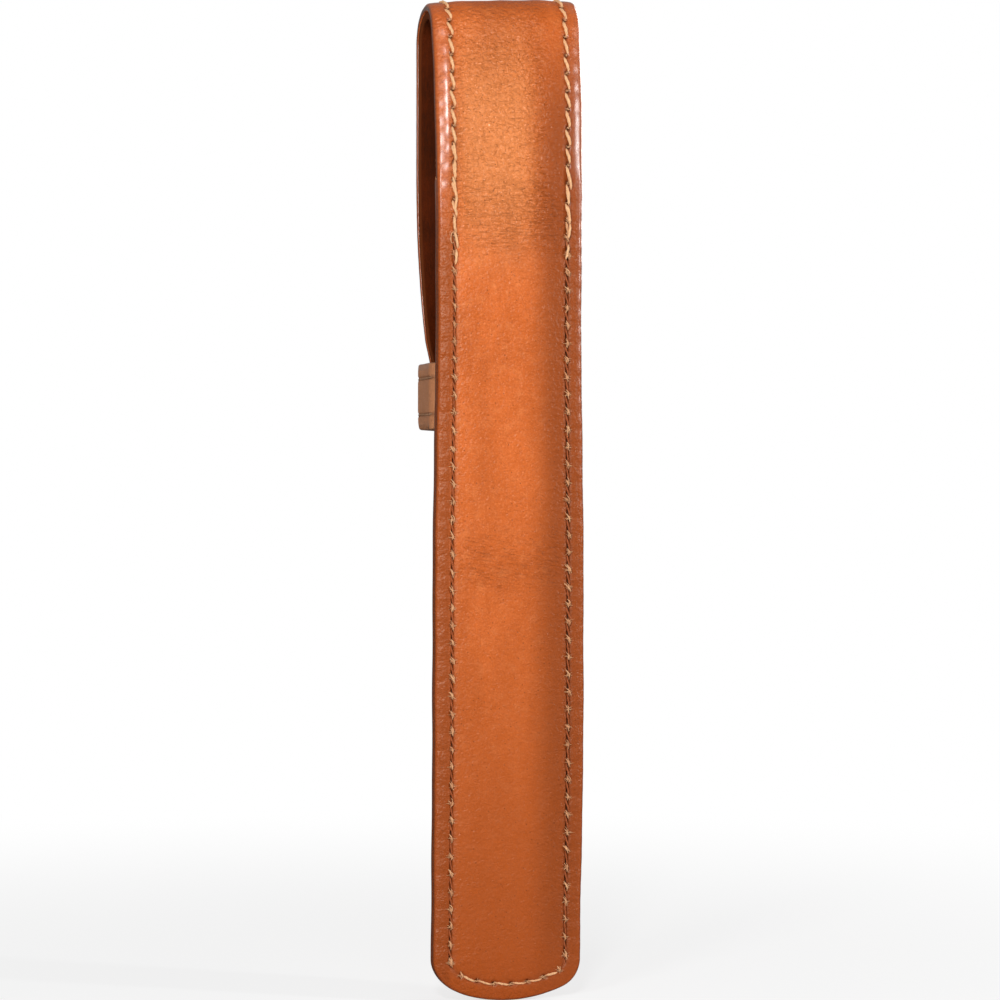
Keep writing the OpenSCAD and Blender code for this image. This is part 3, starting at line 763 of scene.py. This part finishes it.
def band_path():
    """Points and outward normals of the keeper's outline seen from above, foot to foot."""
    foot, low = BAND_X - KEEPER_FOOT_R, FLANGE_Y + KEEPER_FOOT_R
    sole = [(x, FLANGE_Y, 0, -1) for x in np.linspace(BAND_X - KEEPER_FOOT_W, foot, 4)[:-1]]
    steps = round((CORNER_Y - low) / 0.3) + 1
    side = [(BAND_X, y, 1, 0) for y in np.linspace(low, CORNER_Y, steps)[1:-1]]
    corner_x, over = BAND_X - KEEPER_CORNER_R, QUARTER - ARCH
    half = np.concatenate([
        sole, arc(foot, low, KEEPER_FOOT_R, -QUARTER, 0, 12), side,
        arc(corner_x, CORNER_Y, KEEPER_CORNER_R, 0, over, 12),
        arc(0, ARCH_Y, ARCH_R, over, QUARTER, round(ARCH * ARCH_R / 0.3) + 1)[1:]])
    return np.concatenate([half, half[-2::-1] * [-1, 1, -1, 1]])


BAND = band_path()
BAND_C = lengths(BAND[:, :2])


def band_place(c, z, d):
    """Points of the keeper at length c of its outline, height z and depth d under its face."""
    x, y, nx, ny = (np.interp(c, BAND_C, BAND[:, k]) for k in range(4))
    v = z - KEEPER_Z
    free = smooth((y - FLANGE_Y - 1) / 3)
    d = d + free * (0.35 * np.exp(-v / 0.7) + 0.12 * np.exp(-(KEEPER_H - v) / 0.5))
    return np.stack(np.broadcast_arrays(x - nx * d, y - ny * d - MID_Y, z), -1)


def band_shell(d0, t, inset, seed, rows):
    """One ply of the keeper, d0 under its face, with its rows of stitches pressed in."""
    r = min(0.32, t * 0.42)
    low, high = KEEPER_Z + inset, KEEPER_Z + KEEPER_H - inset

    def corner(z, d, start, end, way):
        return [(z + r * math.sin(v), d + way * r * math.cos(v))
                for v in np.linspace(start, end, 5)]

    face = [np.linspace(low + r, high - r, 30)] + [row + np.linspace(-0.6, 0.6, 9) for row in rows]
    ring = corner(low + r, r, -QUARTER, 0, -1)
    ring += [(z, 0.0) for z in np.unique(np.concatenate(face))[1:-1]]
    ring += corner(high - r, r, 0, QUARTER, -1) + corner(high - r, t - r, QUARTER, 0, 1)
    ring += [(z, t) for z in np.linspace(high - r, low + r, 8)[1:-1]]
    ring += corner(low + r, t - r, 0, -QUARTER, 1)
    rz, rd = np.array(ring).T[:, None, :]
    c = np.linspace(0, BAND_C[-1], round(BAND_C[-1] / 0.28))[:, None]
    z = rz + 0.06 * waver(c, 13, seed)
    press = sum(0.2 * gauss(rz - row, 0.32) for row in rows) * (rd < t * 0.4)
    co = band_place(c + 0 * z, z, d0 + rd + press)
    rim = np.minimum(np.abs(rz - low), np.abs(high - rz)) + 0 * z
    uv = np.stack(np.broadcast_arrays(c + seed * 3, rz + 2 * rd), -1)
    shell = Shell()
    # painted shade in the pressed rows of stitches
    g = shell.add(co, uv, np.clip(press * 2.2, 0, 1) + 0 * z, rim)
    shell.quads(np.concatenate([g, g[:, :1]], 1), flip=True)
    shell.faces += [g[0].tolist(), g[-1][::-1].tolist()]
    return shell


def band_stitches(threads):
    """The keeper's two rows of stitches, from one foot over the arch to the other."""
    start, end = 3.4, BAND_C[-1] - 3.4
    n = round((end - start) / 2.5)
    holes = np.linspace(start, end, n + 1)
    u = np.linspace(-1, 1, 13)
    c = ((holes[1:] + holes[:-1]) / 2)[:, None] + u * ((end - start) / n / 2 - HOLE_GAP)
    for row in BAND_ROWS:
        z = row + 0.12 * u + rng.normal(0, 0.04, (n, 1))
        d = 0.16 - 0.1 * (1 - u**2) + 0.2 * np.abs(u) ** 3 + 0 * c
        pos = band_place(c, z, d)
        ring, uv = strands(pos, pos - band_place(c, z, d + PROBE), taper(u, 0.15))
        threads.add(KEEPER_SEAM, ring, uv + scatter(n), 0.1)


def lin(*rgb):
    """A colour from 0 to 255 as the linear one that Blender takes."""
    rgb = (v / 255 for v in rgb)
    return tuple(v / 12.92 if v <= 0.04045 else ((v + 0.055) / 1.055) ** 2.4 for v in rgb)


def dim(colour, share):
    return tuple(v * share for v in colour)


class Nodes:
    """A short way to write the nodes of a tree."""

    def __init__(self, tree):
        self.tree = tree

    def new(self, kind, links=(), **props):
        node = self.tree.nodes.new(kind)
        for key, value in props.items():
            setattr(node, key, value)
        for key, value in links:
            self.put(node.inputs[key], value)
        return node

    def put(self, socket, value):
        if isinstance(value, bpy.types.NodeSocket):
            self.tree.links.new(value, socket)
        elif value is not None:
            socket.default_value = value

    def math(self, op, a, b=None, clamp=False):
        links = [(0, a), (1, b)]
        return self.new("ShaderNodeMath", links, operation=op, use_clamp=clamp).outputs[0]

    def mul(self, a, b, clamp=False):
        return self.math("MULTIPLY", a, b, clamp)

    def add(self, a, b, clamp=False):
        return self.math("ADD", a, b, clamp)

    def step(self, value, low, high, a=0.0, b=1.0):
        """Goes smoothly from a at low to b at high."""
        links = [("Value", value), ("From Min", low), ("From Max", high),
                 ("To Min", a), ("To Max", b)]
        return self.new("ShaderNodeMapRange", links, interpolation_type="SMOOTHSTEP").outputs[0]

    def window(self, value, low, high, soft):
        """One between low and high, with soft shoulders inside them."""
        rise = self.step(value, low, low + soft)
        return self.mul(rise, self.step(value, high - soft, high, 1.0, 0.0))


class Surface(Nodes):
    """A material's nodes, with patterns in millimetres of the flat piece."""

    def __init__(self, name):
        self.mat = bpy.data.materials.new(name)
        self.mat.use_nodes = True
        super().__init__(self.mat.node_tree)
        flat = self.new("ShaderNodeUVMap", uv_map="flat").outputs[0]
        self.mm = self.vec("SCALE", flat, scale=1 / UV_SCALE)

    def vec(self, op, a, b=None, scale=None):
        links = [(0, a), (1, b), (3, scale)]
        return self.new("ShaderNodeVectorMath", links, operation=op).outputs[0]

    def attr(self, name):
        return self.new("ShaderNodeAttribute", attribute_name=name).outputs["Fac"]

    def noise(self, scale, detail=3, rough=0.55, stretch=(1, 1, 1), distort=0.0, at=None):
        where = self.vec("MULTIPLY", at or self.mm, stretch)
        links = [("Vector", where), ("Scale", scale), ("Detail", detail),
                 ("Roughness", rough), ("Distortion", distort)]
        return self.new("ShaderNodeTexNoise", links).outputs[0]

    def cells(self, scale, stretch=(1, 1, 1), wobble=0.0):
        where = self.vec("MULTIPLY", self.mm, stretch)
        if wobble:
            links = [("Vector", self.mm), ("Scale", 1.3), ("Detail", 2.0)]
            shake = self.new("ShaderNodeTexNoise", links).outputs["Color"]
            where = self.vec("ADD", where, self.vec("SCALE", shake, scale=wobble))
        links = [("Vector", where), ("Scale", scale)]
        return self.new("ShaderNodeTexVoronoi", links).outputs["Distance"]

    def dots(self, scale, low, high):
        """One in the middle of each cell, nought from high outwards."""
        return self.step(self.cells(scale), low, high, 1.0, 0.0)

    def mix(self, factor, a, b):
        a, b = ((*v, 1) if isinstance(v, tuple) else v for v in (a, b))
        links = [(0, factor), (6, a), (7, b)]
        return self.new("ShaderNodeMix", links, data_type="RGBA").outputs[2]

    def bump(self, height, distance, strength=1.0, under=None):
        links = [("Height", height), ("Distance", distance), ("Strength", strength),
                 ("Normal", under)]
        return self.new("ShaderNodeBump", links).outputs[0]

    def finish(self, sockets):
        """Puts values on the shader's sockets and returns the material."""
        for key, value in sockets.items():
            self.put(self.tree.nodes["Principled BSDF"].inputs[key], value)
        return self.mat


def crease(n, x, s, pattern, ends, soft, thin):
    """Thin folds across the strap between two lengths, where a noise passes its middle."""
    away = n.math("ABSOLUTE", n.math("SUBTRACT", pattern, 0.5))
    where = n.mul(n.window(s, *ends, soft), n.window(x, -10, 10, 3))
    return n.mul(where, n.step(away, 0.0, thin, 1.0, 0.0))


def leather(name, tone, deep, pale, rim, grain=1.0, gloss=0.28, plain=False):
    """Waxed leather: mottled colour, pebble grain, pores, fine creases, burnished edges.

    Unless it is plain, it has painted light and shade across and along the strap.
    """
    n = Surface(name)
    x, s, _ = n.new("ShaderNodeSeparateXYZ", [("Vector", n.mm)]).outputs
    edge, dark = n.attr("edge"), n.attr("dark")
    cloud = n.noise(0.055, 4, 0.6, (1.5, 0.6, 1), 0.4)
    cloth = n.noise(0.45, 5, 0.65)
    pebble, fine = n.cells(1.45, (1, 0.85, 1), 0.5), n.cells(2.8, wobble=0.3)
    wrinkle = n.noise(1.25, 1.5, 0.5, (0.8, 1.35, 1), 1.0)
    micro = n.noise(3.2, 2, 0.6)
    streak = n.noise(1.6, 4, 0.6, (1.6, 0.12, 1), 0.5)
    rumple = n.mul(n.window(s, 118, 168, 14), n.window(x, -13, 7.5, 4))
    slant = n.new("ShaderNodeCombineXYZ", [("Y", n.mul(x, 0.22))]).outputs[0]
    level = n.noise(1.7, 3, 0.5, (0.14, 2.1, 1), 0.6)
    falling = n.noise(1.5, 3, 0.5, (0.12, 1.6, 1), 0.6, n.vec("ADD", n.mm, slant))
    folds = n.mul(crease(n, x, s, falling, (64, 80), 7, 0.012), 0.7)
    folds = n.math("MAXIMUM", crease(n, x, s, level, (120, 137), 6, 0.014), folds)
    pores = n.mul(n.dots(2.3, 0.05, 0.2), n.step(n.noise(0.7, 3), 0.45, 0.6))

    layers = [
        (n.step(cloth, 0.5, 0.8, 0.0, 0.3), pale),
        (n.step(cloth, 0.25, 0.48, 0.25, 0.0), deep),
        (n.step(wrinkle, 0.3, 0.5, 0.3, 0.0), deep),
        (n.step(micro, 0.3, 0.5, 0.3, 0.0), dim(deep, 0.85)),
        (n.step(micro, 0.54, 0.72, 0.0, 0.3), pale),
    ]
    if not plain:
        # painted light: paler over the upper left and middle of the strap, where the lamps fall
        painted_light_top = n.mul(n.window(s, 114, 168, 24), n.window(x, -12, 6.5, 6))
        # painted shade over the right part, which turns away from the lamps
        right = n.mul(n.step(x, 2.0, 8.0), n.window(s, -10, 165, 25))
        # painted shade on the left margin below the lean
        left = n.mul(n.step(x, -9.6, -10.6), n.step(s, 134, 120))
        layers += [
            # painted light on the upper left and middle
            (n.mul(painted_light_top, 0.7), pale),
            # painted shade: darker towards the bottom, away from the lamps above
            (n.step(s, 0, 90, 1.0, 0.0), dim(deep, 0.92)),
            # painted shade on the right part
            (n.mul(right, 0.95), dim(deep, 0.68)),
            # painted shade on the left margin
            (n.mul(left, 0.9), dim(deep, 0.72)),
        ]
    layers += [
        (n.mul(pores, 0.5), dim(deep, 0.7)),
        (n.mul(n.dots(0.9, 0.05, 0.14), 0.6), dim(deep, 0.3)),
        # painted shade in the fold lines
        (n.mul(folds, 0.07), dim(deep, 0.7)),
        (n.mul(n.step(streak, 0.5, 0.72), 0.16), deep),
        (n.step(edge, 1.1, 0.2, 0.0, 0.4), deep),
        (n.step(edge, 0.3, -0.1, 0.0, 1.0), rim),
        # painted shade in seams, grooves and holes, from the 'dark' mark
        (n.mul(dark, 0.95, True), dim(deep, 0.14)),
    ]
    colour = n.mix(n.step(cloud, 0.32, 0.68, 0.25, 0.9), deep, tone)
    for share, toward in layers:
        colour = n.mix(share, colour, toward)

    rough = n.add(n.mul(n.step(cloth, 0.3, 0.75), 0.12), gloss - 0.06)
    rough = n.add(rough, n.mul(n.math("SUBTRACT", 1.0, rumple), 0.12))
    polish = n.mul(n.step(edge, 3.0, 2.3), n.step(s, 122, 138))
    rolled = n.mul(n.mul(n.step(edge, 1.3, 0.8), n.step(x, 9, 11)), n.step(s, 60, 128))
    polish = n.mul(n.math("MAXIMUM", polish, rolled), n.step(cloth, 0.3, 0.6, 0.6, 1.0))
    height = n.add(n.mul(pebble, -0.5), n.mul(wrinkle, 0.7))
    height = n.mul(height, n.add(n.mul(rumple, 1.05), n.step(s, 60, 120, 0.24, 0.3)))
    height = n.add(height, n.mul(fine, -0.06))
    height = n.math("SUBTRACT", height, n.mul(pores, 0.06))
    height = n.math("SUBTRACT", height, n.mul(folds, 0.08))
    return n.finish({
        "Base Color": colour, "Roughness": n.add(rough, n.mul(dark, 0.35), True),
        "Specular IOR Level": 0.42, "Specular Tint": (1.0, 0.86, 0.68, 1),
        "Coat Weight": n.add(polish, 0.04), "Coat Roughness": 0.23,
        "Coat Tint": (1.0, 0.97, 0.92, 1), "Normal": n.bump(height, 0.00065 * grain)})


def suede(name, tone, deep, rim):
    """The close-napped lining, which is given a colour darkened by painted shade."""
    n = Surface(name)
    nap = n.noise(2.2, 5, 0.7, (2.0, 0.25, 1), 0.6)
    colour = n.mix(n.step(n.noise(0.12, 4, 0.6), 0.3, 0.7), deep, tone)
    raised = tuple(min(v, 1) for v in dim(tone, 1.5))
    colour = n.mix(n.step(nap, 0.35, 0.7, 0.0, 0.5), colour, raised)
    colour = n.mix(n.step(n.attr("edge"), 0.5, 0.1, 0.0, 0.85), colour, rim)
    # painted shade in grooves, from the 'dark' mark
    colour = n.mix(n.attr("dark"), colour, dim(deep, 0.3))
    cells = n.cells(2.6, wobble=0.3)
    return n.finish({
        "Base Color": colour, "Roughness": n.step(nap, 0.3, 0.7, 0.62, 0.85),
        "Specular IOR Level": 0.06,
        "Normal": n.bump(cells, 0.00008, 0.6, n.bump(nap, 0.00012, 0.8))})


def cotton(name, tone, deep, sunk_shade):
    """Waxed thread: plied fibres, with painted shade where the seam has pulled it in."""
    n = Surface(name)
    fibre = n.noise(6.0, 4, 0.7, (0.35, 4.0, 1), 0.4)
    colour = n.mix(n.step(fibre, 0.3, 0.7), deep, tone)
    colour = n.mix(n.mul(n.step(n.noise(0.35, 2), 0.4, 0.7), 0.35), colour, deep)
    # painted shade where the thread lies in its groove
    colour = n.mix(n.attr("dark"), colour, sunk_shade)
    return n.finish({
        "Base Color": colour, "Roughness": n.step(fibre, 0.3, 0.7, 0.5, 0.7),
        "Specular IOR Level": 0.2, "Normal": n.bump(fibre, 0.00008)})


TANS = lin(214, 106, 44), lin(172, 78, 22), lin(238, 146, 84), lin(88, 40, 16)
# the keeper's leather: the strap's tan painted greyer and duller, as in shade
BAND_SHADED_TANS = lin(186, 124, 84), lin(164, 106, 70), lin(204, 146, 106), lin(150, 100, 66)
strap_m = leather("tan_leather", *TANS)
panel_m = leather("panel_leather", *TANS, grain=0.9)
keeper_shaded_m = leather("keeper_leather", *BAND_SHADED_TANS, grain=0.5, gloss=0.4, plain=True)
# the lining's brown, painted near black as the shade inside the loop
shaded_lining_m = suede("lining_leather", lin(80, 29, 5), lin(56, 20, 3), lin(96, 46, 18))
thread_m = cotton("thread", lin(255, 216, 166), lin(240, 172, 120), lin(156, 70, 26))
# the keeper's thread: the seam's thread painted greyer, as in shade
band_thread_shaded_m = cotton("keeper_thread", lin(178, 138, 108), lin(140, 100, 72), lin(80, 50, 34))


def body_names(tail, k, first):
    """The CAD nodes that piece k of the strap stands for."""
    return ([first] if k == 0 else []) + [f"{LINKS[k + 1]}_{tail}"]


shell = build_ply(0, STRAP_T, CORNER_Z, True, 0.6, 0.35, 0.0, strap_relief)
for k, obj in cut_shell(shell, "strap", strap_m, 0):
    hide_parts(*body_names("leather", k, "back_leather"))
shell = build_ply(STRAP_T, LINING_T, MOUTH_Z + 0.3, False, 0.35, 0.45, 0.15, lining_relief)
for k, obj in cut_shell(shell, "lining", shaded_lining_m, STRAP_T):
    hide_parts(*body_names("lining", k, "neck_lining"))

threads = Threads()
for sew in (strap_stitches, lock_stitches, knots, tufts, loose_end,
            flange_stitches, band_stitches):
    sew(threads)
STANDS = {
    POCKET_SEAM: ("seam_thread", thread_m,
                  ["seam_stitches_left", "seam_stitches_right", "mouth_stitches"]),
    FLANGE_SEAM: ("flange_thread", thread_m, ["seam_stitches_bottom"]),
    KEEPER_SEAM: ("keeper_thread", band_thread_shaded_m,
                  ["keeper_stitches_upper", "keeper_stitches_lower"]),
}
for key in sorted(threads.sets):
    if key in STANDS:
        name, material, nodes = STANDS[key]
        obj = threads.build(key, name, material)
        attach(obj, "sleeve")
        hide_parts(*nodes)
    else:
        obj = threads.build(key, f"strap_thread_{key + 1}", thread_m)
        blend_piece(obj, key, STRAP_T)
        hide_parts(*body_names("stitches", key, "neck_stitches"))

keeper = band_shell(0, KEEPER_T, 0.0, 4, BAND_ROWS)
keeper_inside = band_shell(KEEPER_T, KEEPER_LINING_T, 0.12, 9, ())
for name, made, material, node, look in (
    ("panel", panel_shell(), panel_m, "pocket_panel", "panel_leather"),
    ("keeper", keeper, keeper_shaded_m, "keeper_leather", "keeper_leather"),
    ("keeper_inside", keeper_inside, shaded_lining_m, "keeper_lining", "lining_leather"),
):
    obj = made.build(name, material)
    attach(obj, "sleeve")
    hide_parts(node)

# The photo's view, in metres: level, 13.3 degrees to the side, from half a metre away
scene = bpy.context.scene
scene.view_settings.view_transform = "Standard"
TURN, ROLL = math.radians(-13.3), math.radians(0.1)
DISTANCE, SIDESTEP, AIM_Z = 0.5, 0.0003, 0.082
SENSOR, SHOWN = 36, 0.165 / 0.99
back = Vector((math.sin(TURN), -math.cos(TURN), 0))
target = Vector((SIDESTEP * math.cos(TURN), SIDESTEP * math.sin(TURN), AIM_Z))
camera = bpy.data.objects.new("camera", bpy.data.cameras.new("camera"))
scene.collection.objects.link(camera)
camera.location = target + back * DISTANCE
level = back.to_track_quat("Z", "Y")
camera.rotation_euler = (level @ Quaternion((0, 0, 1), ROLL)).to_euler()
camera.data.sensor_width = SENSOR
camera.data.lens = SENSOR * DISTANCE / SHOWN
camera.data.clip_start = 0.01
scene.camera = camera


def bare(owner):
    """The emptied node tree of a world or a material."""
    owner.use_nodes = True
    owner.node_tree.nodes.clear()
    return Nodes(owner.node_tree)


def seen(n, glossy):
    """One where the camera or glass sees the surface, that share for gloss, and else nought."""
    path = n.new("ShaderNodeLightPath").outputs
    straight = n.math("MAXIMUM", path["Is Camera Ray"], path["Is Transmission Ray"])
    return n.math("MAXIMUM", straight, n.mul(path["Is Glossy Ray"], glossy))


# A white room that lights the sleeve only a little
world = bpy.data.worlds.new("studio")
scene.world = world
n = bare(world)
dim_room, white_room = (
    n.new("ShaderNodeBackground", [("Color", (1, 1, 1, 1)), ("Strength", v)]).outputs[0]
    for v in (0.16, 1.0))
links = [(0, seen(n, 0.08)), (1, dim_room), (2, white_room)]
room = n.new("ShaderNodeMixShader", links).outputs[0]
n.new("ShaderNodeOutputWorld", [("Surface", room)])

# A white floor that keeps the shadow, and stays dark in the sleeve's gloss
floor_mesh = bpy.data.meshes.new("floor")
FLOOR = 3
corners = [(-FLOOR, -FLOOR, 0), (FLOOR, -FLOOR, 0), (FLOOR, FLOOR, 0), (-FLOOR, FLOOR, 0)]
floor_mesh.from_pydata(corners, [], [(0, 1, 2, 3)])
floor = bpy.data.objects.new("floor", floor_mesh)
scene.collection.objects.link(floor)
floor_m = bpy.data.materials.new("floor")
n = bare(floor_m)
glossy = n.new("ShaderNodeLightPath").outputs["Is Glossy Ray"]
links = [(0, glossy), (1, -0.75), (2, 0.85)]
tone = n.new("ShaderNodeMath", links, operation="MULTIPLY_ADD").outputs[0]
card = n.new("ShaderNodeBsdfDiffuse", [("Color", tone)]).outputs[0]
white = n.new("ShaderNodeEmission", [("Strength", 1.0)]).outputs[0]
spot = n.new("ShaderNodeTexCoord").outputs["Object"]
away = n.new("ShaderNodeVectorMath", [(0, spot)], operation="LENGTH").outputs["Value"]
share = n.mul(seen(n, 0.0), n.step(away, 0.05, 0.3, 0.7, 1.0))
both = n.new("ShaderNodeMixShader", [(0, share), (1, card), (2, white)]).outputs[0]
n.new("ShaderNodeOutputMaterial", [("Surface", both)])
floor_mesh.materials.append(floor_m)


def lamp(name, at, aim, size, power):
    data = bpy.data.lights.new(name, "AREA")
    data.shape = "RECTANGLE"
    data.size, data.size_y = size
    data.energy = power
    obj = bpy.data.objects.new(name, data)
    scene.collection.objects.link(obj)
    obj.location = at
    obj.rotation_euler = (Vector(at) - Vector(aim)).to_track_quat("Z", "Y").to_euler()


lamp("key", (-0.31, -0.4, 0.2), (0, 0, 0.08), (0.1, 0.1), 0.95)
lamp("streak", (-0.16, -0.49, 0.32), (0, 0, 0.149), (0.06, 0.09), 1.3)
lamp("sheen", (0.02, -0.54, 0.36), (0, 0, 0.149), (0.12, 0.1), 0.15)
lamp("side", (0.42, -0.27, 0.22), (0, 0, 0.12), (0.03, 0.16), 0.9)
lamp("back", (0.55, 0.42, 0.38), (0, 0, 0.09), (0.4, 0.4), 3.2)
